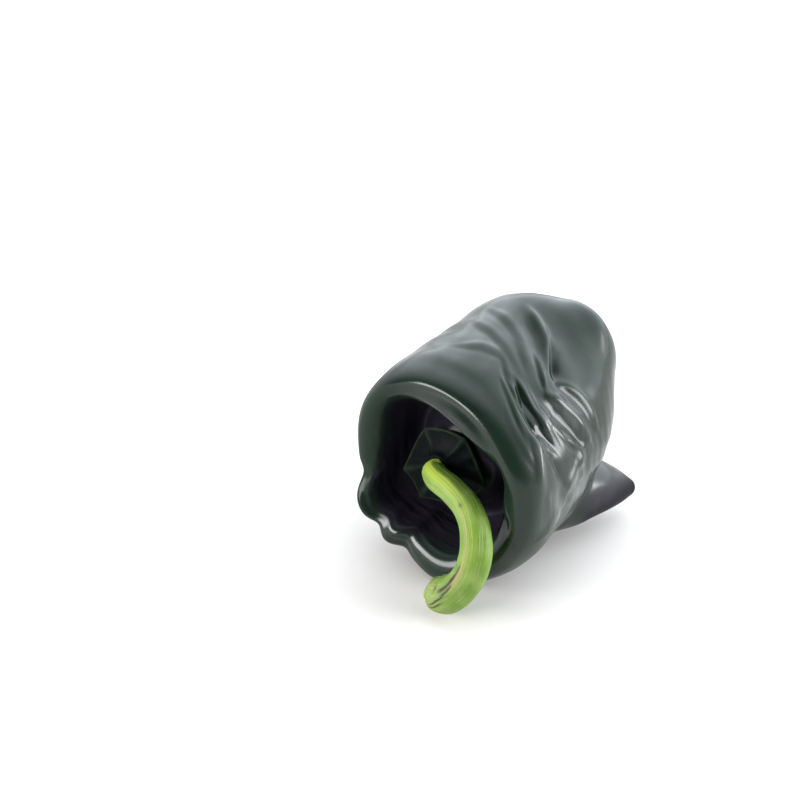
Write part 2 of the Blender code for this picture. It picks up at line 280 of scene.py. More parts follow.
# Cracks near the stem's end: shares of the length where each starts and ends,
# its angle at both ends and its half width in degrees
STEM_CRACKS = (
    (0.62, 0.77, 92, 84, 4),
    (0.71, 0.88, 86, 94, 7),
    (0.76, 0.87, 102, 110, 4),
    (0.84, 0.95, 113, 121, 3),
    (0.87, 0.97, 130, 138, 3),
)


# Where the middle of the shoulder rim falls in the picture, which is this many pixels wide
PICTURE_PIXELS = 800
ANCHOR_PIXEL = (435, 480)
SENSOR_WIDTH = 36

# The white light behind comes from this direction, and fades between these turns from it
SKY_DIRECTION = (-0.08, 0.95, 0.28)
SKY_FADE, SKY_FULL = -0.3, 1.0
SKY_COLOUR = (0.88, 0.95, 1.0)

# Soft lamps: name, place, width and height, power in watts; each aims at the pepper's middle
SOFTBOXES = (
    ("front_softbox", (-0.48, -0.94, 0.34), (1.0, 0.36), 19),
    ("right_softbox", (1.01, 0.56, 0.25), (0.86, 0.44), 16),
)
PEPPER_MIDDLE = (0, 0, 0.04)


def smooth_path(points, steps=24):
    """A Catmull-Rom curve through the points."""
    p = np.array(points, dtype=float)
    p = np.vstack([2 * p[0] - p[1], p, 2 * p[-1] - p[-2]])
    u = np.linspace(0, 1, steps, endpoint=False)[:, None]
    pieces = []
    for a, b, c, d in zip(p, p[1:], p[2:], p[3:]):
        straight = 2 * b + (c - a) * u
        bend = (2 * a - 5 * b + 4 * c - d) * u**2 + (3 * b - a - 3 * c + d) * u**3
        pieces.append((straight + bend) / 2)
    pieces.append(p[-2:-1])
    return np.vstack(pieces)


def along(path, share):
    """The path's columns at shares of its length."""
    steps = np.linalg.norm(np.diff(path, axis=0), axis=1)
    length = np.concatenate([[0], np.cumsum(steps)])
    return [np.interp(share * length[-1], length, column) for column in path.T]


def rise(value, start, end):
    """0 before the start, 1 after the end, smooth between."""
    share = np.clip((value - start) / (end - start), 0, 1)
    return share * share * (3 - 2 * share)


def turn_between(angle, middle):
    """Degrees from a direction to each angle, the short way round."""
    return (np.degrees(angle) - middle + 180) % 360 - 180


def around(table, angle):
    """The table's values at each angle, smooth all the way round."""
    places = [place + turn for turn in (-360, 0, 360) for place, _ in table]
    values = 3 * [value for _, value in table]
    path = smooth_path(list(zip(places, values)))
    return np.interp((np.degrees(angle) + 180) % 360 - 180, path[:, 0], path[:, 1])


def crease_height(angle, back, creases):
    """How far the creases lift the skin, in metres, measured on the unrolled side of the pod."""
    across = (np.degrees(angle) + 180) % 360 - 180
    u, v = across * UNROLLED, back * 1000
    total = np.zeros_like(u)
    for line, ridge, ridge_width, furrow, furrow_width, furrow_place in creases:
        path = smooth_path(line, 6) * (UNROLLED, 1)
        nearest = np.full_like(u, np.inf)
        offset, reached = np.zeros_like(u), np.zeros_like(u)
        for number, (start, end) in enumerate(zip(path, path[1:])):
            run = end - start
            part = np.clip(((u - start[0]) * run[0] + (v - start[1]) * run[1]) / (run @ run), 0, 1)
            du, dv = u - start[0] - part * run[0], v - start[1] - part * run[1]
            distance = np.hypot(du, dv)
            closer = distance < nearest
            nearest = np.where(closer, distance, nearest)
            signed = np.where(run[1] * du - run[0] * dv > 0, -distance, distance)
            offset = np.where(closer, signed, offset)
            reached = np.where(closer, (number + part) / (len(path) - 1), reached)
        ends = rise(reached, 0, 0.35) * rise(1 - reached, 0, 0.35)
        offset = offset / (0.5 + 0.5 * ends)
        shape = ridge * np.exp(-((offset / ridge_width) ** 2))
        shape = shape - furrow * np.exp(-(np.abs((offset - furrow_place) / furrow_width) ** 1.5))
        total = total + ends * shape
    return total / 1000


def swell_of_flesh(angle, back):
    """Low, uneven swells of the skin, in metres."""
    u, v = angle, back * 1000
    waves = 0.30 * np.sin(3 * u + 0.05 * v + 1.0) * np.sin(0.09 * v + 2 * np.sin(u))
    waves = waves + 0.24 * np.sin(7 * u - 0.04 * v + 2.0) * np.sin(0.13 * v + 1.0 + 3 * np.sin(u + 1))
    waves = waves + 0.11 * np.sin(17 * u + 0.10 * v) * np.sin(0.21 * v + 4 * np.sin(2 * u))
    patch = 0.5 + 0.5 * np.sin(2.3 * u + 0.07 * v + 0.4) * np.sin(0.12 * v + 3 * np.sin(u + 2))
    waves = waves + 0.17 * patch * np.sin(0.52 * v + 1.5 * np.sin(2 * u + 0.6) - 2.2 * u)
    low = np.exp(-((turn_between(angle, -8) / 26) ** 2))
    waves = waves + 0.09 * low * np.sin(0.9 * v + 9 * u + 2 * np.sin(5 * u)) * np.sin(0.5 * v - 13 * u)
    return waves * rise(v, 6, 16) * (1 - rise(v, 68, 78)) / 1000


def lobes_of_end(angle, radius, back):
    """Low lobes round a shallow dimple on the blunt end, in metres, towards the back."""
    u, reach = angle, radius * 1000
    lobes = 0.75 * np.cos(3 * u + 0.8 + 0.05 * reach) * rise(reach, 2, 15)
    lobes = lobes + 0.25 * np.cos(7 * u - 0.12 * reach) * rise(reach, 4, 16)
    lobes = lobes + 0.14 * np.sin(0.6 * reach + 3 * np.cos(2 * u)) * rise(reach, 5, 14)
    lobes = lobes - 0.9 * np.exp(-((reach / 8) ** 2))
    return lobes * rise(back, 0.068, 0.077) / 1000


def pod_surface(angle, share):
    """The pod's skin at an angle round it and a share of the way from recess floor to blunt end."""
    share = np.interp(share, RING_SHARES, PATH_SHARES)
    angle = angle - CLOSER * np.sin(angle - math.radians(CLOSE_ANGLE))
    back, radius, side, height = along(smooth_path(POD_SHAPE), share)
    outside = rise(share, 0.34, 0.42)
    belly = BELLY_DEPTH * rise(back, BELLY_START, BELLY_FULL) * (1 - rise(back, BELLY_FADE, BELLY_END))
    radius = radius * (1 + outside * belly * np.clip(-np.sin(angle), 0, 1) ** 4)
    clear = rise(share, 0.13, 0.26) * rise(radius, 0, 0.015)
    outwards, forwards = np.zeros_like(back), np.zeros_like(back)
    for middle, width, place, depth, out, ahead in POD_SWELLS:
        weight = np.exp(-((turn_between(angle, middle) / width) ** 2) - ((back - place) / depth) ** 2)
        outwards = outwards + clear * weight * out
        forwards = forwards + clear * weight * ahead
    lip = rise(share, 0.15, 0.23) * (1 - rise(share, 0.28, 0.36))
    radius = radius + lip * (around(LIP_EDGE, angle) - LIP_RADIUS)
    face = rise(share, 0.22, 0.26) * (1 - rise(share, 0.37, 0.41))
    for middle, width, place, depth, ahead in RIM_DENTS:
        weight = np.exp(-((turn_between(angle, middle) / width) ** 2) - ((radius - place) / depth) ** 2)
        forwards = forwards + face * weight * ahead
    forwards = forwards - outside * lobes_of_end(angle, radius, back)
    creases = crease_height(angle, back, CREASES + FINE_CREASES)
    radius = radius + outwards + outside * (creases + swell_of_flesh(angle, back))
    x = side + radius * np.cos(angle)
    z = height + radius * np.sin(angle)
    return np.stack([x, RIM_Y + back - forwards, np.maximum(z, 0)], -1)


def tube_surface(points, angle, share):
    """A tapering tube with round ends along a smooth line: x, y, z and radius at each point."""
    path = smooth_path(points)
    length = np.clip((share - TIP_END) / (1 - 2 * TIP_END), 0, 1)
    place = np.array(along(path, length)).T
    before = np.array(along(path, np.clip(length - 0.02, 0, 1))).T
    after = np.array(along(path, np.clip(length + 0.02, 0, 1))).T
    ahead = after[:, :3] - before[:, :3]
    ahead /= np.linalg.norm(ahead, axis=1)[:, None]
    sideways = np.cross(ahead, (0, 0, 1.0))
    sideways /= np.linalg.norm(sideways, axis=1)[:, None]
    upwards = np.cross(sideways, ahead)
    start_turn = np.clip(1 - share / TIP_END, 0, 1) * math.pi / 2
    taper = math.radians(TIP_TAPER)
    end_turn = taper + np.clip(1 - (1 - share) / TIP_END, 0, 1) * (math.pi / 2 - taper)
    reach = place[:, 3] * np.cos(start_turn) * np.cos(end_turn) / math.cos(taper)
    push = place[:, 3] * ((np.sin(end_turn) - math.sin(taper)) / math.cos(taper) - np.sin(start_turn))
    ring = sideways * np.cos(angle)[:, None] + upwards * np.sin(angle)[:, None]
    spot = place[:, :3] + ahead * push[:, None] + ring * reach[:, None]
    spot[:, 2] = np.maximum(spot[:, 2], 0)
    return spot


def calyx_outline(angle, vein_width):
    """The calyx's reach at each angle, and how near the middle of a point's vein that angle is."""
    reach = np.full_like(angle, CALYX_RADIUS)
    vein = np.zeros_like(angle)
    for middle, length in CALYX_POINTS:
        turn = turn_between(angle, middle)
        reach = reach + length * np.exp(-np.abs(turn) / CALYX_POINT_WIDTH)
        vein = vein + np.exp(-((turn / vein_width) ** 2))
    return reach, vein


def calyx_surface(angle, share):
    """The calyx's skin at an angle round it and a share of the way from the stem's seat to its back."""
    ratio, back = along(smooth_path(CALYX_SHAPE), share)
    reach, vein = calyx_outline(angle, 5)
    stretch = rise(ratio, CALYX_SHAPE[2][0], 1)
    radius = ratio * (CALYX_RADIUS + stretch * (reach - CALYX_RADIUS))
    back = back + CALYX_LEAN * radius * stretch * np.cos(angle - math.radians(CALYX_LEAN_ANGLE))
    front = (share < 0.5) * rise(ratio, 0.4, 0.55) * (1 - rise(ratio, 0.9, 1))
    ripple = 0.00012 * np.sin(11 * angle + 2 * np.sin(2 * angle)) * rise(ratio, 0.5, 0.8)
    back = back - front * (0.00045 * vein + ripple) + 0.0002 * front
    x = CALYX_SIDE + radius * np.cos(angle)
    z = CALYX_HEIGHT + radius * np.sin(angle)
    return np.stack([x, RIM_Y + back, z], -1)


def stem_frames(length):
    """Places, radii and two cross directions along the stem's middle line."""
    path = smooth_path(STEM_SHAPE)
    place = np.array(along(path, length)).T
    before = np.array(along(path, np.clip(length - 0.015, 0, 1))).T
    after = np.array(along(path, np.clip(length + 0.015, 0, 1))).T
    ahead = after[:, :3] - before[:, :3]
    ahead /= np.linalg.norm(ahead, axis=1)[:, None]
    outer = np.cross(ahead, (-0.35, -0.85, 0.40))
    outer /= np.linalg.norm(outer, axis=1)[:, None]
    return place, ahead, outer, np.cross(outer, ahead)


def stem_surface(angle, share):
    """The stem's skin: a ribbed tube with a flat seat at the calyx and a blunt, torn end."""
    length = np.clip((share - STEM_SEAT) / (STEM_CUT - STEM_SEAT), 0, 1)
    place, ahead, outer, upper = stem_frames(length)
    start = rise(share, 0, STEM_SEAT)
    end_turn = np.clip((share - STEM_CUT) / (1 - STEM_CUT), 0, 1) * math.pi / 2
    ribs = 0.022 * np.cos(5 * angle + 2.0 * length + 0.6) + 0.014 * np.cos(8 * angle - 3.0 * length)
    ribs = ribs + 0.006 * np.cos(23 * angle + 5 * length)
    ribs = ribs * (1 - rise(share, STEM_CUT, 0.98))
    gnarl = 0.02 * np.sin(17 * length + 1.3) * np.cos(angle + 7 * length)
    radius = place[:, 3] * (1 + ribs + gnarl * rise(length, 0.1, 0.3))
    scar = np.exp(-(((length - 0.80) / 0.05) ** 2) - (turn_between(angle, 150) / 18) ** 2)
    radius = radius - 0.0007 * scar
    reach = radius * start * np.cos(end_turn) ** 0.7
    push = place[:, 3] * (0.35 * np.sin(end_turn) - 0.16 * rise(end_turn, 0.9, 1.5))
    ring = outer * np.cos(angle)[:, None] + upper * np.sin(angle)[:, None]
    return place[:, :3] + ahead * push[:, None] + ring * reach[:, None]


def plain_sphere(sectors, rings):
    """A sphere, with each vertex's angle round it and share of the way from pole to pole."""
    shape = bmesh.new()
    bmesh.ops.create_uvsphere(shape, u_segments=sectors, v_segments=rings, radius=1)
    start = np.array([vertex.co[:] for vertex in shape.verts])
    angle = np.arctan2(start[:, 1], start[:, 0])
    share = np.arccos(np.clip(start[:, 2], -1, 1)) / math.pi
    return shape, angle, share


def shaped_sphere(name, sectors, rings, surface):
    """A sphere whose vertices are moved onto a surface given by angle and share from pole to pole."""
    shape, angle, share = plain_sphere(sectors, rings)
    for vertex, place in zip(shape.verts, surface(angle, share)):
        vertex.co = place
    mesh = bpy.data.meshes.new(name)
    shape.to_mesh(mesh)
    shape.free()
    mesh.shade_smooth()
    return bpy.data.objects.new(name, mesh)


def add_mark(mesh, name, values):
    """Keeps a number for each vertex, which the materials read by its name."""
    mark = mesh.attributes.new(name, "FLOAT", "POINT")
    mark.data.foreach_set("value", np.asarray(values, dtype=np.float32))


def mesh_places(mesh):
    places = np.zeros(len(mesh.vertices) * 3, dtype=np.float32)
    mesh.vertices.foreach_get("co", places)
    return places.reshape(-1, 3).astype(float)


def set_places(mesh, places):
    mesh.vertices.foreach_set("co", places.astype(np.float32).ravel())
    mesh.update()


class NodeChain:
    """Adds nodes to a tree and joins them."""

    def __init__(self, tree):
        self.tree = tree

    def add(self, kind, **values):
        node = self.tree.nodes.new(kind)
        for name, value in values.items():
            setattr(node, name, value)
        return node

    def join(self, start, end):
        self.tree.links.new(start, end)

    def math(self, operation, first, second=None):
        node = self.add("ShaderNodeMath", operation=operation)
        for socket, value in zip(node.inputs, (first, second)):
            if isinstance(value, (int, float)):
                socket.default_value = value
            elif value is not None:
                self.join(value, socket)
        return node.outputs[0]

    def noise(self, vector, scale, detail):
        node = self.add("ShaderNodeTexNoise")
        node.inputs["Scale"].default_value = scale
        node.inputs["Detail"].default_value = detail
        node.inputs["Roughness"].default_value = 0.55
        self.join(vector, node.inputs["Vector"])
        return node.outputs["Fac"]

    def ramp(self, value, low, high, out_low=0.0, out_high=1.0):
        node = self.add("ShaderNodeMapRange", interpolation_type="SMOOTHSTEP")
        names = ("From Min", "From Max", "To Min", "To Max")
        for name, number in zip(names, (low, high, out_low, out_high)):
            node.inputs[name].default_value = number
        self.join(value, node.inputs["Value"])
        return node.outputs["Result"]

    def mix(self, factor, first, second):
        node = self.add("ShaderNodeMix", data_type="RGBA")
        self.join(factor, node.inputs["Factor"])
        for name, value in (("A", first), ("B", second)):
            socket = [s for s in node.inputs if s.name == name and s.type == "RGBA"][0]
            if isinstance(value, tuple):
                socket.default_value = (*value, 1)
            else:
                self.join(value, socket)
        return [s for s in node.outputs if s.type == "RGBA"][0]

    def mark(self, name):
        return self.add("ShaderNodeAttribute", attribute_name=name).outputs["Fac"]

    def stretched(self, scale):
        """Object coordinates squeezed along each axis."""
        place = self.add("ShaderNodeTexCoord").outputs["Object"]
        node = self.add("ShaderNodeVectorMath", operation="MULTIPLY")
        node.inputs[1].default_value = scale
        self.join(place, node.inputs[0])
        return node.outputs[0]


def new_group(name, inputs, outputs):
    """A shader node group with named number inputs and outputs."""
    group = bpy.data.node_groups.new(name, "ShaderNodeTree")
    for title, default in inputs:
        socket = group.interface.new_socket(name=title, in_out="INPUT", socket_type="NodeSocketFloat")
        socket.default_value = default
    for title in outputs:
        group.interface.new_socket(name=title, in_out="OUTPUT", socket_type="NodeSocketFloat")
    chain = NodeChain(group)
    entry, leave = chain.add("NodeGroupInput"), chain.add("NodeGroupOutput")
    return group, chain, entry, leave


def growth_group():
    """Soft blotches, and streaks along the length that the flesh grew in."""
    old = bpy.data.node_groups.get("Growth Marks")
    if old:
        return old
    group, chain, entry, leave = new_group(
        "Growth Marks", (("Blotch Scale", 60.0), ("Streak Scale", 300.0)), ("Blotch", "Streak", "Grain")
    )
    place = chain.add("ShaderNodeTexCoord").outputs["Object"]
    blotch = chain.add("ShaderNodeTexNoise")
    blotch.inputs["Detail"].default_value = 4
    chain.join(place, blotch.inputs["Vector"])
    chain.join(entry.outputs["Blotch Scale"], blotch.inputs["Scale"])
    streak = chain.add("ShaderNodeTexNoise")
    streak.inputs["Detail"].default_value = 3
    chain.join(chain.stretched((0.22, 1, 0.22)), streak.inputs["Vector"])
    chain.join(entry.outputs["Streak Scale"], streak.inputs["Scale"])
    grain = chain.noise(place, 2200, 2)
    chain.join(chain.ramp(blotch.outputs["Fac"], 0.3, 0.7), leave.inputs["Blotch"])
    chain.join(chain.ramp(streak.outputs["Fac"], 0.3, 0.7), leave.inputs["Streak"])
    chain.join(grain, leave.inputs["Grain"])
    return group


def growth_node(chain, blotch_scale, streak_scale):
    node = chain.add("ShaderNodeGroup")
    node.node_tree = growth_group()
    node.inputs["Blotch Scale"].default_value = blotch_scale
    node.inputs["Streak Scale"].default_value = streak_scale
    return node


def new_material(name):
    """A material with a node tree, its chain and its Principled shader."""
    material = bpy.data.materials.new(name)
    material.use_nodes = True
    shader = material.node_tree.nodes["Principled BSDF"]
    return material, NodeChain(material.node_tree), shader


def bump(chain, shader, height, distance):
    """Raises the skin by the height, in metres at its most."""
    node = chain.add("ShaderNodeBump")
    node.inputs["Distance"].default_value = distance
    chain.join(height, node.inputs["Height"])
    chain.join(node.outputs["Normal"], shader.inputs["Normal"])


def waxy_skin(settings):
    """Dark green waxed skin, with painted shade in the recess, on the rim's left side, in the hollow of its
    face and under the tip, a painted sheen of pale colour on the crease crests and lower right side, and
    nearly purple black at the tip.
    """
    material, chain, shader = new_material("waxy_pepper_skin")
    growth = growth_node(chain, 45, 160)
    glossy = chain.ramp(growth.outputs["Blotch"], 0, 1, settings.wax, settings.wax - 0.3)
    # Painted shade: this mark thins the wax coat to darken the recess, the rim's left side, the tip's
    # underside and the hollow of the rim's face
    bare = chain.math("SUBTRACT", 1, chain.mark("painted_shade"))
    chain.join(chain.math("MULTIPLY", glossy, bare), shader.inputs["Coat Weight"])
    shader.inputs["Coat Roughness"].default_value = settings.wax_roughness
    shader.inputs["Coat IOR"].default_value = 1.45
    shader.inputs["Specular IOR Level"].default_value = 0.0
    green = chain.mix(growth.outputs["Blotch"], tuple(settings.dark_green), tuple(settings.light_green))
    faint = chain.math("MULTIPLY", growth.outputs["Streak"], 0.2)
    green = chain.mix(faint, green, tuple(settings.light_green))
    # Painted sheen: pale colour on the crease crests and the lower right side, in place of the waxy skin's
    # reflection there
    pale = chain.math("MULTIPLY", chain.mark("painted_sheen"), chain.ramp(growth.outputs["Streak"], 0, 1, 0.3, 1.0))
    green = chain.mix(pale, green, tuple(settings.painted_sheen))
    colour = chain.mix(chain.mark("tip"), green, tuple(settings.purple_black))
    # Painted shade: the recess gets a dark purple colour where shade falls inside it
    colour = chain.mix(chain.mark("recess"), colour, tuple(settings.recess_painted_shade))
    chain.join(colour, shader.inputs["Base Color"])
    rough = chain.ramp(growth.outputs["Blotch"], 0, 1, settings.roughness - 0.05, settings.roughness + 0.07)
    chain.join(rough, shader.inputs["Roughness"])
    streak = chain.math("MULTIPLY", growth.outputs["Streak"], 0.8)
    height = chain.math("ADD", streak, chain.math("MULTIPLY", growth.outputs["Grain"], 0.05))
    specks = chain.ramp(chain.noise(chain.stretched((0.5, 1, 0.5)), 150, 1), 0.64, 0.76)
    height = chain.math("ADD", height, chain.math("MULTIPLY", specks, 0.25))
    bump(chain, shader, height, 0.0007)
    return material


def calyx_skin(settings):
    """Near-black green calyx, partly its own dark green and partly painted shade of the recess it sits in,
    with paler edges and veins.
    """
    material, chain, shader = new_material("calyx_skin")
    growth = growth_node(chain, 220, 900)
    body = chain.mix(growth.outputs["Blotch"], tuple(settings.dark), tuple(settings.middle))
    edge = chain.math("MULTIPLY", chain.mark("edge"), chain.ramp(growth.outputs["Blotch"], 0, 1, 0.5, 1.0))
    chain.join(chain.mix(edge, body, tuple(settings.edge)), shader.inputs["Base Color"])
    chain.join(chain.ramp(growth.outputs["Blotch"], 0, 1, 0.4, 0.55), shader.inputs["Roughness"])
    shader.inputs["Specular IOR Level"].default_value = 0.03
    bump(chain, shader, growth.outputs["Grain"], 0.0001)
    return material


def stem_skin(settings):
    """Yellow green stem with a painted highlight of yellow on its upper side, brown flecks, and a torn,
    fibrous end.
    """
    material, chain, shader = new_material("stem_skin")
    growth = growth_node(chain, 160, 700)
    shader.inputs["Subsurface Weight"].default_value = 0.12
    shader.inputs["Specular IOR Level"].default_value = 0.25
    shader.inputs["Subsurface Radius"].default_value = (0.004, 0.005, 0.001)
    shader.inputs["Subsurface Scale"].default_value = 0.4
    fibre = chain.mark("fibre")
    colour = chain.mix(growth.outputs["Blotch"], tuple(settings.green), tuple(settings.yellow_green))
    # Painted highlight: yellow laid on the stem's upper side near the calyx end
    colour = chain.mix(chain.mark("painted_highlight"), colour, tuple(settings.highlight_yellow))
    colour = chain.mix(chain.mark("pink_line"), colour, tuple(settings.pink_brown))
    colour = chain.mix(chain.math("MULTIPLY", chain.mark("end"), fibre), colour, tuple(settings.straw))
    colour = chain.mix(chain.mark("scar"), colour, tuple(settings.brown))
    chain.join(colour, shader.inputs["Base Color"])
    chain.join(chain.ramp(growth.outputs["Blotch"], 0, 1, 0.36, 0.5), shader.inputs["Roughness"])
    height = chain.math("ADD", chain.math("MULTIPLY", fibre, 0.8), growth.outputs["Grain"])
    bump(chain, shader, height, 0.00014)
    return material


class PodSettings(bpy.types.PropertyGroup):
    """Fineness and colours of the pod."""

    sectors: IntProperty(name="Sectors", description="Steps round the pod", default=340, min=24)
    rings: IntProperty(
        name="Rings", description="Steps from the recess to the blunt end", default=256, min=24
    )
    fillet: IntProperty(
        name="Fillet", description="Rounds of smoothing where the tip joins", default=10, min=0
    )
    wax: FloatProperty(
        name="Wax", description="Weight of the clear waxy coat", default=1.0, subtype="FACTOR"
    )
    wax_roughness: FloatProperty(
        name="Wax Roughness", description="Roughness of the waxy coat", default=0.21, subtype="FACTOR"
    )
    roughness: FloatProperty(
        name="Roughness",
        description="Roughness of the skin under the wax",
        default=0.45,
        subtype="FACTOR",
    )
    dark_green: FloatVectorProperty(
        name="Dark Green",
        description="Main colour of the skin",
        default=(0.004, 0.010, 0.0065),
        subtype="COLOR",
    )
    light_green: FloatVectorProperty(
        name="Light Green",
        description="Paler blotches and streaks",
        default=(0.009, 0.019, 0.012),
        subtype="COLOR",
    )
    # Painted sheen: pale colour laid on the crease crests and the lower right side in place of their
    # reflection
    painted_sheen: FloatVectorProperty(
        name="Bloom",
        description="Paler, drier skin on the creases",
        default=(0.12, 0.135, 0.13),
        subtype="COLOR",
    )
    purple_black: FloatVectorProperty(
        name="Purple Black",
        description="Skin at the tip",
        default=(0.007, 0.0065, 0.011),
        subtype="COLOR",
    )
    # Painted shade: the dark purple colour given to the recess
    recess_painted_shade: FloatVectorProperty(
        name="Recess Purple",
        description="Skin in the recess",
        default=(0.011, 0.0095, 0.0145),
        subtype="COLOR",
    )


class CalyxSettings(bpy.types.PropertyGroup):
    """Colours of the calyx."""

    # The dark and middle greens are near black: partly the calyx's own colour, partly painted shade of the
    # recess
    dark: FloatVectorProperty(
        name="Dark",
        description="Darkest green of the calyx",
        default=(0.001, 0.0018, 0.002),
        subtype="COLOR",
    )
    middle: FloatVectorProperty(
        name="Middle",
        description="Green of the calyx's blotches",
        default=(0.0018, 0.003, 0.0034),
        subtype="COLOR",
    )
    edge: FloatVectorProperty(
        name="Edge",
        description="Paler green of edges and veins",
        default=(0.018, 0.03, 0.017),
        subtype="COLOR",
    )


class StemSettings(bpy.types.PropertyGroup):
    """Colours of the stem."""

    green: FloatVectorProperty(
        name="Green", description="Green side of the stem", default=(0.11, 0.205, 0.022), subtype="COLOR"
    )
    yellow_green: FloatVectorProperty(
        name="Yellow Green", description="Paler blotches", default=(0.185, 0.265, 0.06), subtype="COLOR"
    )
    # Colour of the painted highlight on the stem's upper side
    highlight_yellow: FloatVectorProperty(
        name="Yellow", description="Bright upper side", default=(0.29, 0.37, 0.03), subtype="COLOR"
    )
    pink_brown: FloatVectorProperty(
        name="Pink Brown",
        description="Faint line along the middle",
        default=(0.27, 0.2, 0.09),
        subtype="COLOR",
    )
    straw: FloatVectorProperty(
        name="Straw", description="Fibres at the torn end", default=(0.24, 0.27, 0.09), subtype="COLOR"
    )
    brown: FloatVectorProperty(
        name="Brown", description="Scars and flecks", default=(0.022, 0.016, 0.010), subtype="COLOR"
    )


class StageSettings(bpy.types.PropertyGroup):
    """Camera, lights and floor."""

    turn: FloatProperty(
        name="Turn",
        description="Camera's angle round the pepper",
        default=math.radians(42.5),
        subtype="ANGLE",
    )
    tilt: FloatProperty(
        name="Tilt",
        description="Camera's angle above the floor",
        default=math.radians(32),
        subtype="ANGLE",
    )
    lens: FloatProperty(name="Lens", description="Focal length in millimetres", default=85)
    distance: FloatProperty(
        name="Distance",
        description="From the camera to the stem end of the pepper",
        default=0.642,
        unit="LENGTH",
    )
    floor_radius: FloatProperty(
        name="Floor Radius", description="Size of the floor", default=8, unit="LENGTH"
    )
    floor_colour: FloatVectorProperty(
        name="Floor Colour", description="Pale floor", default=(0.74, 0.705, 0.685), subtype="COLOR"
    )
    sky: FloatProperty(name="Sky", description="Strength of the white light behind", default=3.6)
    shade: FloatProperty(name="Shade", description="Strength of the light in front", default=0.12)


def finish_piece(piece, nodes):
    """Puts a piece in the scene in place of the solids that it stands for."""
    bpy.context.scene.collection.objects.link(piece)
    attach(piece, "root")
    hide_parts(*nodes)


def soften_join(mesh, rounds):
    """Smooths the mesh round the line where the tip leaves the body, as grown flesh does."""
    places = mesh_places(mesh)
    edges = np.zeros(len(mesh.edges) * 2, dtype=np.int64)
    mesh.edges.foreach_get("vertices", edges)
    edges = edges.reshape(-1, 2)
    mark = mesh.attributes["from_tip"]
    values = np.zeros(len(mesh.polygons), dtype=np.int32)
    mark.data.foreach_get("value", values)
    side = np.zeros((len(places), 2), dtype=bool)
    for polygon, value in zip(mesh.polygons, values):
        for corner in polygon.vertices:
            side[corner, value] = True
    join = side.all(axis=1)
    weight = join.astype(float)
    ends = np.bincount(edges.ravel(), minlength=len(places))
    for _ in range(7):
        spread = np.zeros(len(places))
        np.maximum.at(spread, edges[:, 0], weight[edges[:, 1]])
        np.maximum.at(spread, edges[:, 1], weight[edges[:, 0]])
        weight = np.maximum(weight, spread - 0.13)
    weight = np.clip(weight, 0, 1)[:, None]
    for _ in range(rounds):
        total = np.zeros_like(places)
        np.add.at(total, edges[:, 0], places[edges[:, 1]])
        np.add.at(total, edges[:, 1], places[edges[:, 0]])
        places = places + 0.6 * weight * (total / ends[:, None] - places)
    set_places(mesh, places)


def join_tip(body, tip):
    """The body and tip as one closed skin, with the faces that came from the tip marked."""
    for piece, value in ((body, 0), (tip, 1)):
        mark = piece.data.attributes.new("from_tip", "INT", "FACE")
        mark.data.foreach_set("value", np.full(len(piece.data.polygons), value, dtype=np.int32))
        bpy.context.scene.collection.objects.link(piece)
    union = body.modifiers.new("tip", "BOOLEAN")
    union.operation = "UNION"
    union.solver = "MANIFOLD"
    union.object = tip
    reader = bpy.context.evaluated_depsgraph_get()
    mesh = bpy.data.meshes.new_from_object(body.evaluated_get(reader))
    for piece in (body, tip):
        bpy.data.objects.remove(piece)
    # A vertex on only two edges would turn into a loose flap once its faces are cut into triangles
    shape = bmesh.new()
    shape.from_mesh(mesh)
    between = [vertex for vertex in shape.verts if len(vertex.link_edges) == 2]
    bmesh.ops.dissolve_verts(shape, verts=between)
    shape.to_mesh(mesh)
    shape.free()
    return mesh


def mark_pod(mesh):
    """Marks the recess, the tip, painted shade that thins the wax coat, and a painted sheen of pale colour
    on the crease crests and the lower right side.
    """
    x, y, z = mesh_places(mesh).T
    reach = np.hypot(x, z - RECESS_Z)
    angle = np.arctan2(z - RECESS_Z, x)
    lip = around(LIP_EDGE, angle)
    # The recess mark covers the inside of the lip's edge, where shade is painted in colour and by thinning
    # the wax coat
    recess = (1 - rise(reach, lip - 0.0005, lip + 0.0025)) * (1 - rise(y, -0.02, -0.01))
    tip = rise(x + 0.5 * y, 0.022, 0.034) * (1 - rise(z, 0.020, 0.026)) * rise(y, 0.0, 0.012)
    # Painted shade on the rim's left side
    left = (1 - rise(np.abs(turn_between(angle, 165)), 35, 75)) * (1 - rise(y, -0.036, -0.024))
    back = y - RIM_Y
    # Painted sheen on the crests of the creases and along the lower right side
    creased = np.exp(-((turn_between(angle, 30) / 42) ** 2))
    creased = creased * rise(back, 0.004, 0.012) * (1 - rise(back, 0.04, 0.055))
    crests = np.clip(crease_height(angle, back, CREASES + FINE_CREASES) / 0.0012, 0, 1) * creased
    side = np.exp(-((turn_between(angle, -2) / 13) ** 2))
    side = side * rise(back, 0.004, 0.014) * (1 - rise(back, 0.03, 0.042))
    add_mark(mesh, "painted_sheen", np.clip(0.75 * crests + 0.9 * side, 0, 1))
    add_mark(mesh, "recess", recess)
    add_mark(mesh, "tip", tip)
    # Painted shade in the hollow of the rim's face and on the tip's underside; with the recess and left
    # side it thins the wax coat
    hollow = np.exp(-((turn_between(angle, 66) / 20) ** 2) - ((reach - 0.0318) / 0.0022) ** 4) * (y < -0.03)
    under = tip * (1 - rise(z, 0.011, 0.021))
    add_mark(mesh, "painted_shade", np.clip(0.75 * recess + 0.55 * left + 0.75 * under + 0.9 * hollow, 0, 0.85))


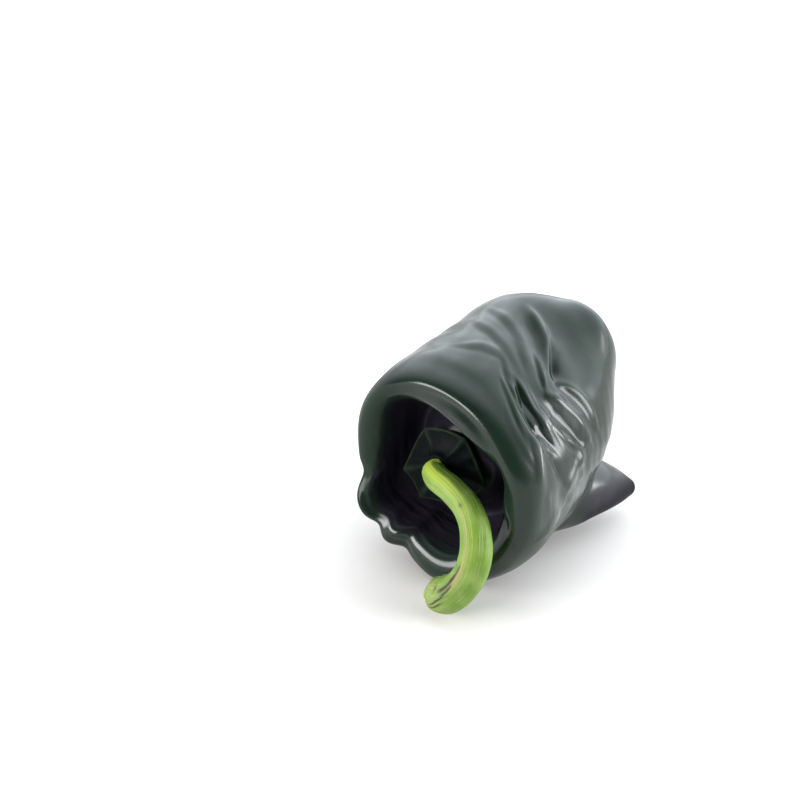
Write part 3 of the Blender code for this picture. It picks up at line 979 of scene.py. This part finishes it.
class PEPPER_OT_pod(bpy.types.Operator):
    """Build the waxy pod"""

    bl_idname = "pepper.pod"
    bl_label = "Pod"

    def execute(self, context):
        settings = context.scene.pepper_pod
        body = shaped_sphere("pod_body", settings.sectors, settings.rings, pod_surface)
        tip = shaped_sphere("pod_tip", 120, 90, lambda a, s: tube_surface(TIP_SHAPE, a, s))
        mesh = join_tip(body, tip)
        soften_join(mesh, settings.fillet)
        mark_pod(mesh)
        mesh.shade_smooth()
        mesh.materials.clear()
        mesh.materials.append(waxy_skin(settings))
        finish_piece(bpy.data.objects.new("pepper_pod", mesh), ["pod"])
        return {"FINISHED"}


class PEPPER_OT_calyx(bpy.types.Operator):
    """Build the calyx"""

    bl_idname = "pepper.calyx"
    bl_label = "Calyx"

    def execute(self, context):
        piece = shaped_sphere("pepper_calyx", 240, 96, calyx_surface)
        x, y, z = mesh_places(piece.data).T
        angle = np.arctan2(z - CALYX_HEIGHT, x - CALYX_SIDE)
        reach, vein = calyx_outline(angle, 4)
        ratio = np.hypot(z - CALYX_HEIGHT, x - CALYX_SIDE) / reach
        rim = rise(ratio, 0.93, 0.98)
        add_mark(piece.data, "edge", np.maximum(rim, 0.5 * vein * rise(ratio, 0.4, 0.6)))
        piece.data.materials.append(calyx_skin(context.scene.pepper_calyx))
        finish_piece(piece, ["calyx"])
        return {"FINISHED"}


def stroke(angle, length, shape):
    """A thin mark along the stem: where it starts and ends, its angle at both ends and its half width."""
    start, end, turn_start, turn_end, width = shape
    part = np.clip((length - start) / (end - start), 0, 1)
    across = turn_between(angle, turn_start + (turn_end - turn_start) * part) / width
    ends = rise(length, start - 0.015, start + 0.03) * (1 - rise(length, end - 0.03, end + 0.015))
    return np.exp(-(across**2)) * ends


def mark_stem(mesh, sectors, rings):
    """Marks the stem's painted highlight, faint line, cracks and fleck, torn end and fibres."""
    shape, angle, share = plain_sphere(sectors, rings)
    shape.free()
    length = np.clip((share - STEM_SEAT) / (STEM_CUT - STEM_SEAT), 0, 1)
    # Painted highlight along the upper side, fading towards the torn end
    bright = np.exp(-((turn_between(angle, 120) / 28) ** 2)) * (1 - 0.7 * rise(length, 0.10, 0.35))
    add_mark(mesh, "painted_highlight", bright * (1 - rise(length, 0.5, 0.75)))
    line = 0.5 * stroke(angle, length, (0.36, 0.68, 100, 104, 8))
    blush = np.exp(-(((length - 0.73) / 0.07) ** 2) - (turn_between(angle, 100) / 15) ** 2)
    add_mark(mesh, "pink_line", np.clip(line + 0.8 * blush, 0, 1))
    cracks = sum(stroke(angle, length, crack) for crack in STEM_CRACKS)
    fleck = np.exp(-(((length - 0.335) / 0.013) ** 2) - (turn_between(angle, 112) / 9) ** 2)
    add_mark(mesh, "scar", np.clip(cracks + 0.7 * fleck, 0, 1))
    add_mark(mesh, "end", rise(length, 0.85, 0.95) * (1 - rise(share, 0.95, 0.985)))
    fibres = np.sin(31 * angle + 4 * np.sin(9 * angle) + 6 * length)
    add_mark(mesh, "fibre", 0.5 + 0.5 * fibres * (1 - rise(share, STEM_CUT, 0.975)))


class PEPPER_OT_stem(bpy.types.Operator):
    """Build the curled stem"""

    bl_idname = "pepper.stem"
    bl_label = "Stem"

    def execute(self, context):
        sectors, rings = 160, 260
        piece = shaped_sphere("pepper_stem", sectors, rings, stem_surface)
        mark_stem(piece.data, sectors, rings)
        piece.data.materials.append(stem_skin(context.scene.pepper_stem))
        finish_piece(piece, ["stem"])
        return {"FINISHED"}


def camera_axes(turn, tilt):
    """Directions that the camera looks along, to its right and up."""
    ahead = Vector((-math.sin(turn) * math.cos(tilt), math.cos(turn) * math.cos(tilt), -math.sin(tilt)))
    right = Vector((math.cos(turn), math.sin(turn), 0))
    return ahead, right, right.cross(ahead)


def add_camera(settings):
    """The camera at the photograph's angle, placed so that a point of the pepper falls where it should."""
    ahead, right, up = camera_axes(settings.turn, settings.tilt)
    anchor = Vector((0, RIM_Y, 0.0395))
    pixels_per_unit = settings.lens / SENSOR_WIDTH * PICTURE_PIXELS
    across, down = ((pixel - PICTURE_PIXELS / 2) / pixels_per_unit for pixel in ANCHOR_PIXEL)
    camera = bpy.data.objects.new("camera", bpy.data.cameras.new("camera"))
    camera.data.lens = settings.lens
    camera.data.sensor_width = SENSOR_WIDTH
    camera.data.clip_start = 0.01
    turned = Matrix((right, up, -ahead)).transposed().to_4x4()
    turned.translation = anchor - settings.distance * (ahead + right * across - up * down)
    camera.matrix_world = turned
    bpy.context.scene.collection.objects.link(camera)
    bpy.context.scene.camera = camera


def add_softbox(name, place, size, power):
    """A soft lamp that faces the pepper."""
    light = bpy.data.lights.new(name, "AREA")
    light.shape = "RECTANGLE"
    light.size, light.size_y = size
    light.energy = power
    lamp = bpy.data.objects.new(name, light)
    lamp.location = place
    lamp.rotation_euler = (Vector(PEPPER_MIDDLE) - Vector(place)).to_track_quat("-Z", "Y").to_euler()
    bpy.context.scene.collection.objects.link(lamp)


class PEPPER_OT_stage(bpy.types.Operator):
    """Build the pale floor, the soft lights and the camera"""

    bl_idname = "pepper.stage"
    bl_label = "Stage"

    def execute(self, context):
        settings = context.scene.pepper_stage
        shape = bmesh.new()
        bmesh.ops.create_circle(shape, cap_ends=True, segments=96, radius=settings.floor_radius)
        mesh = bpy.data.meshes.new("floor")
        shape.to_mesh(mesh)
        shape.free()
        floor = bpy.data.objects.new("floor", mesh)
        material, _, shader = new_material("pale_floor")
        shader.inputs["Base Color"].default_value = (*settings.floor_colour, 1)
        shader.inputs["Roughness"].default_value = 0.9
        mesh.materials.append(material)
        context.scene.collection.objects.link(floor)
        world = bpy.data.worlds.new("even_white")
        world.use_nodes = True
        background = world.node_tree.nodes["Background"]
        background.inputs["Color"].default_value = (*SKY_COLOUR, 1)
        chain = NodeChain(world.node_tree)
        side = chain.add("ShaderNodeVectorMath", operation="DOT_PRODUCT")
        chain.join(chain.add("ShaderNodeTexCoord").outputs["Generated"], side.inputs[0])
        side.inputs[1].default_value = Vector(SKY_DIRECTION).normalized()
        strength = chain.ramp(side.outputs["Value"], SKY_FADE, SKY_FULL, settings.shade, settings.sky)
        chain.join(strength, background.inputs["Strength"])
        context.scene.world = world
        for softbox in SOFTBOXES:
            add_softbox(*softbox)
        add_camera(settings)
        context.scene.view_settings.view_transform = "Standard"
        return {"FINISHED"}


class PEPPER_PT_panel(bpy.types.Panel):
    """Lists the pieces of the pepper"""

    bl_label = "Poblano Pepper"
    bl_idname = "PEPPER_PT_panel"
    bl_space_type = "VIEW_3D"
    bl_region_type = "UI"
    bl_category = "Poblano"

    def draw(self, context):
        for operator in OPERATORS:
            self.layout.operator(operator.bl_idname)


SETTINGS = {
    "pepper_pod": PodSettings,
    "pepper_calyx": CalyxSettings,
    "pepper_stem": StemSettings,
    "pepper_stage": StageSettings,
}
OPERATORS = (PEPPER_OT_pod, PEPPER_OT_calyx, PEPPER_OT_stem, PEPPER_OT_stage)
CLASSES = (*SETTINGS.values(), *OPERATORS, PEPPER_PT_panel)


def register():
    for item in CLASSES:
        bpy.utils.register_class(item)
    for name, settings in SETTINGS.items():
        setattr(bpy.types.Scene, name, PointerProperty(type=settings))


def unregister():
    for name in SETTINGS:
        delattr(bpy.types.Scene, name)
    for item in reversed(CLASSES):
        bpy.utils.unregister_class(item)


def main():
    register()
    bpy.ops.pepper.pod()
    bpy.ops.pepper.calyx()
    bpy.ops.pepper.stem()
    bpy.ops.pepper.stage()


if __name__ == "__main__":
    main()
